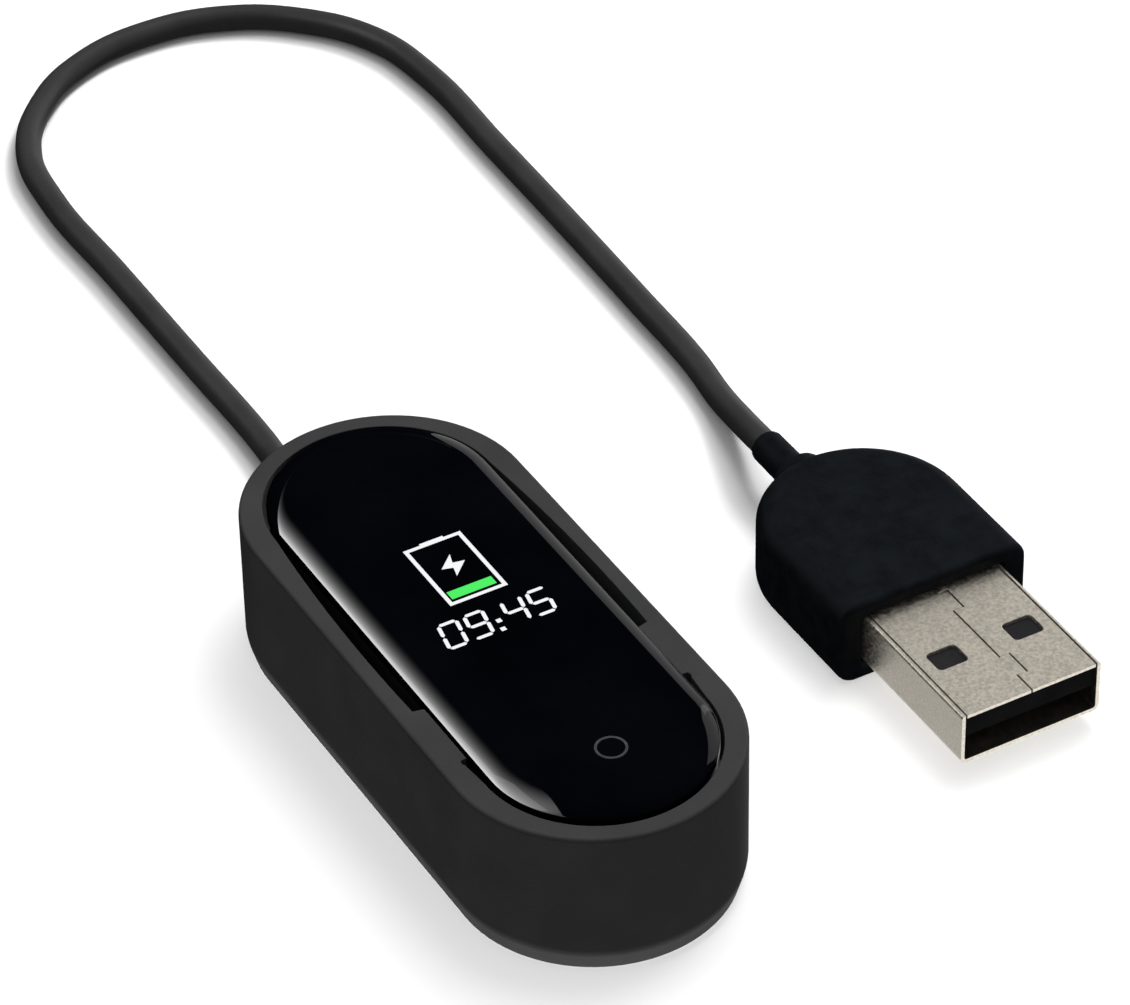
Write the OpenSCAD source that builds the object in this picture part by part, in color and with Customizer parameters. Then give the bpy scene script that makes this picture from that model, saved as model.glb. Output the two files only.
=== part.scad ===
// Activity tracker lying in its charging cradle, with the cradle's captive cord and USB-A plug.
// +Y runs along the tracker towards the end where the cord leaves, +X is to the right, +Z is up.
// The origin is the middle of the cradle's underside. Every size is in millimetres.

/* [Tracker] */
// Length of the glass, end to end
glass_l = 48.5; // [44:0.1:60]
// Width of the glass
glass_w = 17.3; // [14.5:0.1:21]
// Height of the glass's straight side
glass_side = 0.6; // [0.4:0.05:1.2]
// Height of the curved rim of the glass above its straight side
glass_rise = 0.7; // [0.5:0.05:1]
// Width of the curved rim of the glass, seen from above
glass_curve = 1.8; // [1.2:0.1:2.6]
// Height of the whole tracker
tracker_h = 10; // [9:0.1:13]
// How far the lower case stands in from the sides of the glass
case_side_in = 0.85; // [0.6:0.05:1.2]
// How far the lower case stands in from the ends of the glass
case_end_in = 1.9; // [1.5:0.1:3]
// Wall and floor of the case
case_wall = 0.9; // [0.7:0.05:1.1]
// Radius around the underside of the case
case_edge_r = 2.5; // [1.5:0.1:3]
// Height of the lip that carries the glass
lip_h = 1.55; // [1.2:0.05:2]
// Height of the groove where a wrist strap would grip
groove_h = 1.2; // [0.8:0.1:1.6]
// Depth of that groove
groove_deep = 0.4; // [0.2:0.05:0.4]
// Thickness of the adhesive gasket under the glass
gasket_t = 0.2; // [0.1:0.05:0.3]
// Length of the display panel
display_l = 23; // [18:0.5:26]
// Clearance between the display panel and the case on each side
display_side_gap = 1.1; // [0.3:0.05:2]
// Thickness of the display panel
display_t = 0.75; // [0.6:0.05:1]
// Distance of the touch key's middle from the near end of the glass
key_inset = 6.6; // [5:0.1:11]
// Outer diameter of the touch key's ring
key_d = 2.4; // [2:0.1:4]
// Width of the touch key's line
key_line = 0.22; // [0.15:0.01:0.4]
// Depth of the inlaid line
key_deep = 0.05; // [0.03:0.01:0.1]

/* [Inside the tracker] */
// Thickness of the main board
main_board_t = 0.8; // [0.6:0.1:1]
// Depth of the main board below the strap groove's lower edge
main_board_drop = 0.7; // [0.5:0.1:1]
// Width of the ledge that the main board rests on
ledge_w = 0.6; // [0.4:0.05:0.8]
// Battery length
battery_l = 23; // [18:0.5:25]
// Clearance between the battery and the board's ledge on each side
battery_side_gap = 0.8; // [0.3:0.05:1.6]
// Clearance between the battery and the vibration motor
battery_end_gap = 1.5; // [0.5:0.1:3]
// Battery thickness
battery_t = 3.1; // [2.2:0.1:3.6]
// Diameter of the vibration motor
motor_d = 6.4; // [5:0.1:7]
// Height of the vibration motor
motor_h = 2.5; // [2.2:0.1:3]
// Diameter of the heart-rate window
window_d = 7; // [5:0.1:8]
// Diameter of a charging pad
pad_d = 2.2; // [1.6:0.1:2.6]
// Distance between the two charging pads
pad_pitch = 4.4; // [3.6:0.1:6]
// How deep the charging pads lie in the underside
pad_recess = 0.3; // [0.2:0.05:0.5]
// Distance of the charging pads from the middle of the tracker
pad_y = 15; // [14:0.1:16]

/* [Cradle] */
// Clearance around the tracker
seat_gap = 0.3; // [0.2:0.05:0.6]
// Clearance under the tracker
rest_gap = 0.05; // [0.02:0.01:0.1]
// Thickness of the rim beside the tracker, where the cavity is narrowest
rim_side = 2.05; // [1.75:0.05:3]
// Thickness of the rim at both ends
rim_end = 1.45; // [1.2:0.05:3]
// How far the straight side of the glass stands above the rim
glass_proud = 0.15; // [0:0.05:0.4]
// Extra width of the cavity at the middle of each side
side_hollow = 0.75; // [0.3:0.05:1]
// Length of the two lugs that centre the tracker
lug_l = 6; // [3:0.1:9]
// Distance of the lugs from the middle, towards the near end
lug_y = 9.6; // [4:0.1:11]
// Clearance between a lug and the glass
lug_gap = 0.08; // [0.05:0.01:0.2]
// Radius around the rim's outer edge
rim_r = 0.4; // [0.2:0.05:0.8]
// Radius around the underside
base_r = 2; // [1:0.1:2.4]
// Thickness of the floor under the tracker
floor_t = 0.8; // [0.6:0.05:1.2]
// Free height above the circuit board
board_room = 0.9; // [0.7:0.05:1.5]
// Thickness of the circuit board
board_t = 0.6; // [0.4:0.05:1]
// Height of the ribs under the circuit board
rib_h = 0.1; // [0.1:0.05:0.4]
// Thickness of the base cover
cover_t = 0.8; // [0.6:0.05:1.2]
// Clearance around the base cover and the circuit board
cover_gap = 0.1; // [0.05:0.01:0.2]
// Ledge of the underside that surrounds the base cover
cover_ledge = 0.3; // [0.2:0.05:0.6]

/* [Charging pins] */
// Diameter of a pin
pin_d = 0.9; // [0.7:0.05:1]
// Diameter of a pin's collar
pin_collar_d = 1.2; // [1.1:0.05:1.3]
// Height of a pin's collar
pin_collar_h = 0.25; // [0.2:0.05:0.4]
// Running clearance around a pin
pin_gap = 0.05; // [0.03:0.01:0.08]
// Outer diameter of a barrel
barrel_d = 1.75; // [1.7:0.05:2]
// Thickness of a barrel's lip and bottom
barrel_lip = 0.22; // [0.15:0.01:0.3]
// How far a pin can still rise once the tracker is out
pin_rise = 0.3; // [0.2:0.05:0.4]
// Distance between a pin's tip and its pad
pin_touch = 0.02; // [0.01:0.01:0.05]

/* [Cord] */
// Diameter of the cord
cord_d = 2.2; // [1.8:0.1:2.6]
// Height of the cord where it leaves the cradle
cord_exit_z = 4.2; // [3.6:0.1:6]
// How deep the cord goes into the cradle's end wall
cord_in = 2; // [1.5:0.1:2.2]
// Diameter of a copper wire with its insulation
wire_d = 0.6; // [0.4:0.1:0.8]
// Distance between the two wires
wire_pitch = 1; // [0.8:0.1:1.2]

/* [Plug] */
// Width of the USB-A shell
usb_w = 12; // [12:12]
// Thickness of the USB-A shell
usb_t = 4.5; // [4.5:4.5]
// Sheet thickness of the shell
usb_sheet = 0.3; // [0.25:0.01:0.35]
// Bend radius of the shell's four long edges
usb_bend = 0.5; // [0.4:0.05:0.8]
// Length of the shell in front of the grip
usb_out = 13; // [11.75:0.05:15]
// Length of the shell inside the grip
usb_in = 5.5; // [4:0.1:6]
// Width of a latch window, across the shell
latch_w = 2.6; // [2:0.1:3]
// Length of a latch window, along the shell
latch_l = 2.1; // [1.6:0.1:2.6]
// Distance between the middles of the two latch windows
latch_pitch = 6.6; // [5.5:0.1:7.5]
// Distance of the latch windows from the shell's mouth
latch_back = 6.2; // [5:0.1:7]
// Thickness of the tongue
tongue_t = 1.95; // [1.8:0.01:2.1]
// Width of the grip
grip_w = 16.4; // [14.5:0.1:20]
// Length of the grip
grip_l = 17.8; // [15:0.1:22]
// Thickness of the grip
grip_t = 7.2; // [6.5:0.1:9]
// Radius around the grip's long edges
grip_r = 1.5; // [0.5:0.1:2]
// Diameter of the strain relief's collar
collar_d = 4.6; // [3.8:0.1:5.5]
// Length of the collar behind the grip
collar_l = 1.8; // [1:0.1:3]
// Diameter of the strain relief's sleeve
sleeve_d = 2.8; // [2.6:0.1:3.4]
// Length of the sleeve
sleeve_l = 4.2; // [2:0.1:5]

/* [Hidden] */

fn_round = 96;
fn_fillet = 32;
fn_small = 32;
eps = 0.01;

// outlines: half of the straight length, and the radius of the round ends
glass_r = glass_w / 2;
glass_s = glass_l / 2 - glass_r;
lip_in = 0.15;
lip_r = glass_r - lip_in;
low_r = glass_r - case_side_in;
low_s = glass_l / 2 - case_end_in - low_r;
room_r = low_r - case_wall;
ledge_r = room_r - ledge_w;
seat_r = glass_r + seat_gap;
seat_low_r = low_r + seat_gap;
dock_r = seat_r + rim_side;
dock_s = glass_l / 2 + seat_gap + rim_end - dock_r;
opening_r = dock_r - base_r - cover_ledge;
cover_r = opening_r - cover_gap;
board_r = opening_r - 2 * cover_gap;

// heights in the cradle
board_z = cover_t + rib_h;
under_z = board_z + board_t + board_room;
floor_z = under_z + floor_t;

// heights in the tracker
case_z = floor_z + rest_gap;
top_z = case_z + tracker_h;
glass_z = top_z - glass_rise - glass_side;
gasket_z = glass_z - gasket_t;
lip_z = gasket_z - lip_h;
groove_z = lip_z - groove_h;
main_board_z = groove_z - main_board_drop;
room_z = case_z + case_wall;
dock_h = top_z - glass_rise - glass_proud;
step_below_lip = 1.6;
step_z = lip_z - step_below_lip;

// parts inside the tracker
display_w = 2 * (room_r - display_side_gap);
sensor_t = 0.6;
sensor_air = 0.15;
window_y = 3;
motor_y = 15.2;
battery_w = 2 * (ledge_r - battery_side_gap);
battery_z = room_z + sensor_t + sensor_air;
battery_y = motor_y - motor_d / 2 - battery_end_gap - battery_l / 2;
motor_sheet = 0.25;
motor_shaft_d = 0.8;
motor_air = 0.25;

// charging pins
pin_x = pad_pitch / 2;
pin_y = -pad_y;
barrel_z = board_z;
lip_under_z = floor_z - barrel_lip;
pin_collar_top = lip_under_z - pin_rise - 0.1;
pin_tip_z = case_z + pad_recess - pin_touch;
pin_tip_h = 0.15;
spring_z = barrel_z + barrel_lip;
spring_top = pin_collar_top - pin_collar_h;
barrel_bore_d = pin_collar_d + 2 * pin_gap;

// cord route: round numbers in millimetres, from the cradle's end wall to the grip
cord_r = cord_d / 2;
dock_end_y = dock_s + dock_r;
cord_start_y = dock_end_y - cord_in;
slot_wall = 0.15;
slot_gap = 0.1;
slot_w = 2 * wire_d + 0.6;
slot_near_y = low_s + seat_low_r + slot_wall;
wire_y = slot_near_y + slot_gap + wire_d / 2;
plug_x = 33.5;
plug_tip_y = -20.5;
plug_z = grip_t / 2;
grip_front_y = plug_tip_y + usb_out;
grip_back_y = grip_front_y + grip_l;
grip_round_y = grip_back_y - grip_w / 2;
shell_back_y = grip_front_y + usb_in;
core_l = 4.5;
core_back_y = shell_back_y + core_l;
collar_back_y = grip_back_y + collar_l;
sleeve_back_y = collar_back_y + sleeve_l;
cord_end_y = core_back_y - 1.5;
collar_seat = 0.6;

ROUTE = [
    [0, cord_start_y, cord_exit_z],
    [0, dock_end_y, cord_exit_z],
    [0.2, 29.5, 3.7],
    [0.9, 33, 2.5],
    [1.5, 36.5, 1.4],
    [1.8, 40, 1.1],
    [1.8, 52, 1.1],
    [1.8, 65, 1.1],
    [1.8, 77.6, 1.1],
    [3.1, 84.4, 1.1],
    [7, 90.1, 1.1],
    [12.7, 94, 1.1],
    [19.5, 95.3, 1.1],
    [26.3, 94, 1.1],
    [32, 90.1, 1.1],
    [35.9, 84.4, 1.1],
    [37.2, 77.6, 1.1],
    [37, 65, 1.1],
    [36.7, 52, 1.1],
    [36.3, 40, 1.1],
    [35.9, 31, 1.1],
    [35.2, 26, 1.3],
    [34.3, 21, 2.4],
    [plug_x, sleeve_back_y, plug_z],
    [plug_x, cord_end_y, plug_z]
];
cord_sides = 8;
cord_steps = 2;

// ---------- shapes that repeat ----------

// round-ended outline: straight length 2 s, end radius r
module pill(s, r) {
    square([2 * r, 2 * s], center = true);
    for (side = [-1, 1])
        translate([0, side * s])
            circle(r, $fn = fn_round);
}

// flat plate with that outline
module pill_plate(s, r, z_low, z_high) {
    translate([0, 0, z_low])
        linear_extrude(z_high - z_low)
            pill(s, r);
}

// solid whose edge follows a half profile all round the outline
module pill_turned(s) {
    translate([0, s, 0])
        rotate_extrude(angle = 180, $fn = fn_round)
            children();
    translate([0, -s, 0])
        rotate([0, 0, 180])
            rotate_extrude(angle = 180, $fn = fn_round)
                children();
    translate([0, s, 0])
        rotate([90, 0, 0])
            linear_extrude(2 * s) {
                children();
                mirror([1, 0])
                    children();
            }
}

// half profile from the middle out to r, with a fillet at the top and at the bottom
module filleted_half(r, z_low, z_high, top_r, low_r) {
    translate([0, z_low + low_r])
        square([r, z_high - z_low - top_r - low_r]);
    translate([0, z_high - top_r - eps])
        square([r - top_r, top_r + eps]);
    translate([0, z_low])
        square([r - low_r, low_r + eps]);
    translate([r - top_r, z_high - top_r])
        circle(top_r, $fn = fn_fillet);
    translate([r - low_r, z_low + low_r])
        circle(low_r, $fn = fn_fillet);
}

// half profile with a fillet at the bottom only
module half_with_low_fillet(r, z_low, z_high, low_r) {
    translate([0, z_low + low_r])
        square([r, z_high - z_low - low_r]);
    translate([0, z_low])
        square([r - low_r, low_r + eps]);
    translate([r - low_r, z_low + low_r])
        circle(low_r, $fn = fn_fillet);
}

// rod along Z
module rod(d, z_low, z_high) {
    translate([0, 0, z_low])
        cylinder(d = d, h = z_high - z_low, $fn = fn_small);
}

// rod along Y in the plug's axis
module plug_rod(d, y_low, y_high) {
    translate([plug_x, y_low, plug_z])
        rotate([-90, 0, 0])
            cylinder(d = d, h = y_high - y_low, $fn = fn_round / 2);
}

// block centred on the plug's axis across X and, moved by lift, across Z
module plug_block(w, t, y_low, y_high, lift = 0) {
    translate([plug_x - w / 2, y_low, plug_z + lift - t / 2])
        cube([w, y_high - y_low, t]);
}

// the same with four round long edges
module plug_tube(w, t, r, y_low, y_high) {
    translate([plug_x, y_high, plug_z])
        rotate([90, 0, 0])
            linear_extrude(y_high - y_low) {
                square([w - 2 * r, t], center = true);
                square([w, t - 2 * r], center = true);
                for (x = [-1, 1], z = [-1, 1])
                    translate([x * (w / 2 - r), z * (t / 2 - r)])
                        circle(r, $fn = fn_fillet);
            }
}

// both charging pin positions
module at_pins() {
    for (side = [-1, 1])
        translate([side * pin_x, pin_y, 0])
            children();
}

// ---------- cradle ----------

// the cavity bulges sideways along its straight length, between two wide arcs
module seat_outline() {
    pill(glass_s, seat_r);
    wide_r = (pow(glass_s, 2) + pow(side_hollow, 2)) / (2 * side_hollow);
    intersection() {
        translate([seat_r + side_hollow - wide_r, 0])
            circle(wide_r, $fn = 6 * fn_round);
        translate([wide_r - seat_r - side_hollow, 0])
            circle(wide_r, $fn = 6 * fn_round);
        square([2 * dock_r, 2 * glass_s], center = true);
    }
}

module dock_shell() {
    lug_root = 0.5;
    lug_x = glass_r + lug_gap;
    color([0.13, 0.13, 0.14])
        difference() {
            union() {
                difference() {
                    pill_turned(dock_s)
                        filleted_half(dock_r, 0, dock_h, rim_r, base_r);
                    translate([0, 0, step_z])
                        linear_extrude(dock_h)
                            seat_outline();
                    pill_plate(low_s, seat_low_r, floor_z, dock_h);
                }
                for (side = [-1, 1])
                    translate([side > 0 ? lug_x : -seat_r - side_hollow - lug_root, -lug_y - lug_l / 2, step_z - eps])
                        cube([seat_r + side_hollow + lug_root - lug_x, lug_l, dock_h - step_z + eps]);
            }
            pill_plate(dock_s, opening_r, -1, under_z);
            translate([0, dock_end_y + 1, cord_exit_z])
                rotate([90, 0, 0])
                    cylinder(d = cord_d, h = cord_in + 1, $fn = fn_round / 2);
            translate([-slot_w / 2, slot_near_y, under_z - 1])
                cube([slot_w, cord_start_y + eps - slot_near_y, cord_exit_z - under_z + 1]);
            at_pins()
                rod(barrel_d, 0, floor_z + 1);
        }
}

module dock_base_cover() {
    rib_l = 2 * dock_s;
    rib_w = 1;
    color([0.10, 0.10, 0.11]) {
        pill_plate(dock_s, cover_r, 0, cover_t);
        for (side = [-1, 1])
            translate([side * cover_r / 2 - rib_w / 2, -rib_l / 2, cover_t - eps])
                cube([rib_w, rib_l, rib_h + eps]);
    }
}

module dock_circuit_board() {
    chip_h = 0.6;
    color([0.05, 0.28, 0.16])
        difference() {
            union() {
                pill_plate(dock_s, board_r, board_z, board_z + board_t);
                for (spot = [[-3, 6, 3], [3.2, 2, 2.2], [-2.5, -3, 1.6], [2.6, 10, 1.4]])
                    translate([spot[0] - spot[2] / 2, spot[1] - spot[2] / 2, board_z + board_t - eps])
                        cube([spot[2], spot[2], chip_h]);
            }
            at_pins()
                rod(barrel_d, 0, floor_z);
        }
}

module pogo_barrels() {
    color([0.85, 0.66, 0.30])
        at_pins()
            difference() {
                rod(barrel_d, barrel_z, floor_z);
                rod(barrel_bore_d, barrel_z + barrel_lip, lip_under_z);
                rod(pin_d + 2 * pin_gap, barrel_z + barrel_lip, floor_z + 1);
            }
}

module pogo_pin(side) {
    tip_taper = 0.2;
    color([0.90, 0.72, 0.34])
        translate([side * pin_x, pin_y, 0]) {
            rod(pin_collar_d, spring_top, pin_collar_top);
            rod(pin_d, pin_collar_top - eps, pin_tip_z - pin_tip_h);
            translate([0, 0, pin_tip_z - pin_tip_h])
                cylinder(d1 = pin_d, d2 = pin_d - 2 * tip_taper, h = pin_tip_h, $fn = fn_small);
        }
}

module pogo_pin_left() { pogo_pin(-1); }
module pogo_pin_right() { pogo_pin(1); }

// the coil's outer shape as a thin sleeve
module pogo_spring(side) {
    coil_wire = 0.14;
    coil_d = pin_collar_d - 0.04;
    color([0.75, 0.75, 0.78])
        translate([side * pin_x, pin_y, 0])
            difference() {
                rod(coil_d, spring_z, spring_top);
                rod(coil_d - 2 * coil_wire, spring_z - 1, spring_top + 1);
            }
}

module pogo_spring_left() { pogo_spring(-1); }
module pogo_spring_right() { pogo_spring(1); }

// two wires leave the cord's end, turn down the slot and land on the board
module cord_wires() {
    wire_z = cord_exit_z - wire_d / 2;
    color([0.75, 0.12, 0.10])
        for (side = [-1, 1])
            translate([side * wire_pitch / 2, 0, 0]) {
                translate([0, cord_start_y, wire_z])
                    rotate([90, 0, 0])
                        cylinder(d = wire_d, h = cord_start_y - wire_y, $fn = fn_small);
                translate([0, wire_y, wire_z])
                    sphere(d = wire_d, $fn = fn_small);
                translate([0, wire_y, 0])
                    rod(wire_d, board_z + board_t, wire_z);
            }
}

// ---------- tracker ----------

// half profile of the glass: flat top, wide arc down to the straight side
module glass_half() {
    flat_r = glass_r - glass_curve;
    arc_r = (pow(glass_curve, 2) + pow(glass_rise, 2)) / (2 * glass_rise);
    translate([0, glass_z])
        square([glass_r, glass_side]);
    translate([0, glass_z + glass_side - eps])
        square([flat_r + eps, glass_rise + eps]);
    intersection() {
        translate([flat_r, top_z - arc_r])
            circle(arc_r, $fn = fn_round);
        translate([flat_r, glass_z + glass_side - eps])
            square([glass_curve, glass_rise + 2 * eps]);
    }
}

module at_key() {
    translate([0, -glass_l / 2 + key_inset, 0])
        children();
}

module key_line_ring(z_low, z_high) {
    difference() {
        rod(key_d, z_low, z_high);
        rod(key_d - 2 * key_line, z_low - 1, z_high + 1);
    }
}

module tracker_glass() {
    color([0.02, 0.02, 0.025])
        difference() {
            pill_turned(glass_s)
                glass_half();
            at_key()
                key_line_ring(top_z - key_deep, top_z + 1);
        }
}

module touch_key_ring() {
    color([0.62, 0.62, 0.64])
        at_key()
            key_line_ring(top_z - key_deep, top_z);
}

module glass_gasket() {
    edge = 0.1;
    color([0.05, 0.05, 0.05])
        difference() {
            pill_plate(glass_s, lip_r - edge, gasket_z, glass_z);
            pill_plate(low_s, room_r + edge, gasket_z - 1, glass_z + 1);
        }
}

module display_panel() {
    corner_r = 1;
    color([0.01, 0.01, 0.012])
        translate([0, 0, glass_z - display_t])
            linear_extrude(display_t) {
                square([display_w, display_l - 2 * corner_r], center = true);
                square([display_w - 2 * corner_r, display_l], center = true);
                for (x = [-1, 1], y = [-1, 1])
                    translate([x * (display_w / 2 - corner_r), y * (display_l / 2 - corner_r)])
                        circle(corner_r, $fn = fn_small);
            }
}

module tracker_case() {
    color([0.06, 0.06, 0.065])
        difference() {
            union() {
                pill_turned(low_s)
                    half_with_low_fillet(low_r, case_z, groove_z, case_edge_r);
                pill_plate(low_s, low_r - groove_deep, groove_z - eps, lip_z + eps);
                pill_plate(glass_s, lip_r, lip_z, gasket_z);
            }
            pill_plate(low_s, ledge_r, room_z, gasket_z + 1);
            pill_plate(low_s, room_r, main_board_z, gasket_z + 1);
            translate([0, window_y, 0])
                rod(window_d, case_z - 1, room_z + 1);
            at_pins()
                rod(pad_d, case_z - 1, room_z + 1);
        }
}

module tracker_main_board() {
    edge = 0.1;
    chip_h = 0.9;
    board_top = main_board_z + main_board_t;
    color([0.04, 0.22, 0.30]) {
        pill_plate(low_s, room_r - edge, main_board_z, board_top);
        for (spot = [[0, 10, 5.5], [-3.4, 2, 3.4], [3.2, 3, 2.6], [0, -5, 4.5], [3.6, -11, 2]])
            translate([spot[0] - spot[2] / 2, spot[1] - spot[2] / 2, board_top - eps])
                cube([spot[2], spot[2], chip_h]);
    }
}

module tracker_battery() {
    color([0.55, 0.57, 0.60])
        translate([-battery_w / 2, battery_y - battery_l / 2, battery_z])
            cube([battery_w, battery_l, battery_t]);
}

module motor_can() {
    color([0.75, 0.75, 0.76])
        translate([0, motor_y, 0]) {
            difference() {
                rod(motor_d, room_z, room_z + motor_h - motor_sheet);
                rod(motor_d - 2 * motor_sheet, room_z + motor_sheet, room_z + motor_h);
            }
            rod(motor_shaft_d, room_z + motor_sheet - eps, room_z + motor_h - motor_sheet);
        }
}

module motor_lid() {
    color([0.70, 0.70, 0.72])
        translate([0, motor_y, 0])
            rod(motor_d, room_z + motor_h - motor_sheet, room_z + motor_h);
}

// eccentric weight: a hub with a half disc on one side
module motor_rotor() {
    rotor_d = motor_d - 2 * motor_sheet - 2 * motor_air;
    hub_d = motor_shaft_d + 1.2;
    low = room_z + motor_sheet + motor_air;
    high = room_z + motor_h - motor_sheet - motor_air;
    color([0.50, 0.46, 0.38])
        translate([0, motor_y, 0])
            difference() {
                union() {
                    rod(hub_d, low, high);
                    intersection() {
                        rod(rotor_d, low, high);
                        translate([-rotor_d, 0, low])
                            cube([2 * rotor_d, rotor_d, high - low]);
                    }
                }
                rod(motor_shaft_d + 2 * pin_gap, low - 1, high + 1);
            }
}

module heart_rate_window() {
    color([0.10, 0.03, 0.04])
        translate([0, window_y, 0])
            rod(window_d, case_z, room_z);
}

module heart_rate_sensor() {
    board_w = 8;
    color([0.08, 0.30, 0.18])
        translate([-board_w / 2, window_y - board_w / 2, room_z])
            cube([board_w, board_w, sensor_t]);
}

module charging_pads() {
    color([0.90, 0.72, 0.36])
        at_pins()
            rod(pad_d, case_z + pad_recess, room_z);
}

// ---------- cord ----------

// point at fraction t of the stretch i, on a curve through every point of the route
function route_end(i) = ROUTE[max(0, min(len(ROUTE) - 1, i))];
function through(i, t) =
    let (a = route_end(i - 1), b = route_end(i), c = route_end(i + 1), d = route_end(i + 2))
    0.5 * (2 * b + (c - a) * t + (2 * a - 5 * b + 4 * c - d) * t * t + (3 * b - a - 3 * c + d) * t * t * t);
function unit(v) = v / norm(v);
function ring_at(path, i) =
    let (
        ahead = unit(path[min(i + 1, len(path) - 1)] - path[max(i - 1, 0)]),
        side = unit(cross(ahead, [0, 0, 1])),
        up = cross(side, ahead)
    )
    [for (k = [0 : cord_sides - 1])
        let (a = 360 * (k + 0.5) / cord_sides)
        path[i] + cord_r * (side * cos(a) + up * sin(a))];

module usb_cable() {
    path = concat(
        [for (i = [0 : len(ROUTE) - 2], j = [0 : cord_steps - 1]) through(i, j / cord_steps)],
        [ROUTE[len(ROUTE) - 1]]
    );
    rings = len(path);
    last = (rings - 1) * cord_sides;
    points = [for (i = [0 : rings - 1]) each ring_at(path, i)];
    walls = [for (i = [0 : rings - 2], k = [0 : cord_sides - 1])
        let (
            a = i * cord_sides + k,
            b = i * cord_sides + (k + 1) % cord_sides,
            c = b + cord_sides,
            d = a + cord_sides
        )
        each [[a, b, c], [a, c, d]]];
    near_cap = [for (k = [1 : cord_sides - 2]) [0, k + 1, k]];
    far_cap = [for (k = [1 : cord_sides - 2]) [last, last + k, last + k + 1]];
    color([0.11, 0.11, 0.12])
        polyhedron(points = points, faces = concat(walls, near_cap, far_cap), convexity = 4);
}

// ---------- plug ----------

module plug_strain_relief() {
    color([0.07, 0.07, 0.075])
        difference() {
            union() {
                plug_rod(collar_d, grip_back_y - collar_seat, collar_back_y);
                plug_rod(sleeve_d, collar_back_y - eps, sleeve_back_y);
            }
            plug_rod(cord_d, grip_back_y - collar_seat - 1, sleeve_back_y + 1);
        }
}

module plug_grip() {
    color([0.07, 0.07, 0.08])
        difference() {
            union() {
                translate([plug_x, grip_round_y, 0])
                    rotate_extrude(angle = 180, $fn = fn_round)
                        filleted_half(grip_w / 2, 0, grip_t, grip_r, grip_r);
                plug_tube(grip_w, grip_t, grip_r, grip_front_y, grip_round_y);
            }
            plug_tube(usb_w, usb_t, usb_bend, grip_front_y - 1, shell_back_y);
            plug_block(usb_w - 2 * usb_sheet, usb_t - 2 * usb_sheet, shell_back_y - eps, core_back_y);
            plug_rod(cord_d, core_back_y - 1, grip_back_y + 1);
            plug_rod(collar_d, grip_back_y - collar_seat, grip_back_y + 1);
        }
}

// moulded block behind the shell that holds the cord's end and the contacts' tails
module plug_core() {
    edge = 0.05;
    color([0.86, 0.86, 0.82])
        difference() {
            plug_block(usb_w - 2 * usb_sheet - 2 * edge, usb_t - 2 * usb_sheet - 2 * edge, shell_back_y, core_back_y);
            plug_rod(cord_d, cord_end_y, core_back_y + 1);
            contact_strips();
        }
}

module usb_shell() {
    inner_r = usb_bend - usb_sheet;
    color([0.80, 0.76, 0.68])
        difference() {
            plug_tube(usb_w, usb_t, usb_bend, plug_tip_y, shell_back_y);
            plug_tube(usb_w - 2 * usb_sheet, usb_t - 2 * usb_sheet, inner_r, plug_tip_y - 1, shell_back_y + 1);
            for (side = [-1, 1])
                translate([plug_x + side * latch_pitch / 2 - latch_w / 2, plug_tip_y + latch_back - latch_l / 2, 0])
                    cube([latch_w, latch_l, grip_t]);
        }
}

// heights of the tongue inside the shell
tongue_top = plug_z + usb_t / 2 - usb_sheet;
tongue_low = tongue_top - tongue_t;
tongue_edge = 0.07;
tongue_back = 0.3;
tongue_base_l = 3;
contact_t = 0.2;

// four contact strips: the outer two reach nearer the mouth, and all end in tails behind the shell
module contact_strips() {
    strip_w = 1;
    strip_tail = 1.5;
    for (spot = [[-3.5, 1.2], [-1, 2.2], [1, 2.2], [3.5, 1.2]])
        translate([plug_x + spot[0] - strip_w / 2, plug_tip_y + spot[1], tongue_low - contact_t])
            cube([strip_w, shell_back_y + strip_tail - plug_tip_y - spot[1], contact_t]);
}

module usb_tongue() {
    inner_w = usb_w - 2 * usb_sheet;
    inner_t = usb_t - 2 * usb_sheet;
    color([0.10, 0.10, 0.11])
        difference() {
            union() {
                translate([plug_x - inner_w / 2 + tongue_edge, plug_tip_y + tongue_back, tongue_low])
                    cube([inner_w - 2 * tongue_edge, shell_back_y - plug_tip_y - tongue_back, tongue_t - tongue_edge]);
                plug_block(inner_w - 2 * tongue_edge, inner_t - 2 * tongue_edge, shell_back_y - tongue_base_l, shell_back_y);
            }
            contact_strips();
        }
}

module usb_contacts() {
    color([0.88, 0.70, 0.32])
        contact_strips();
}

dock_shell();
dock_base_cover();
dock_circuit_board();
pogo_barrels();
pogo_pin_left();
pogo_pin_right();
pogo_spring_left();
pogo_spring_right();
cord_wires();
tracker_glass();
touch_key_ring();
glass_gasket();
display_panel();
tracker_case();
tracker_main_board();
tracker_battery();
motor_can();
motor_lid();
motor_rotor();
heart_rate_window();
heart_rate_sensor();
charging_pads();
usb_cable();
plug_strain_relief();
plug_grip();
plug_core();
usb_shell();
usb_tongue();
usb_contacts();
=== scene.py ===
import math

import bmesh
import bpy
from mathutils import Matrix, Vector


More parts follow.
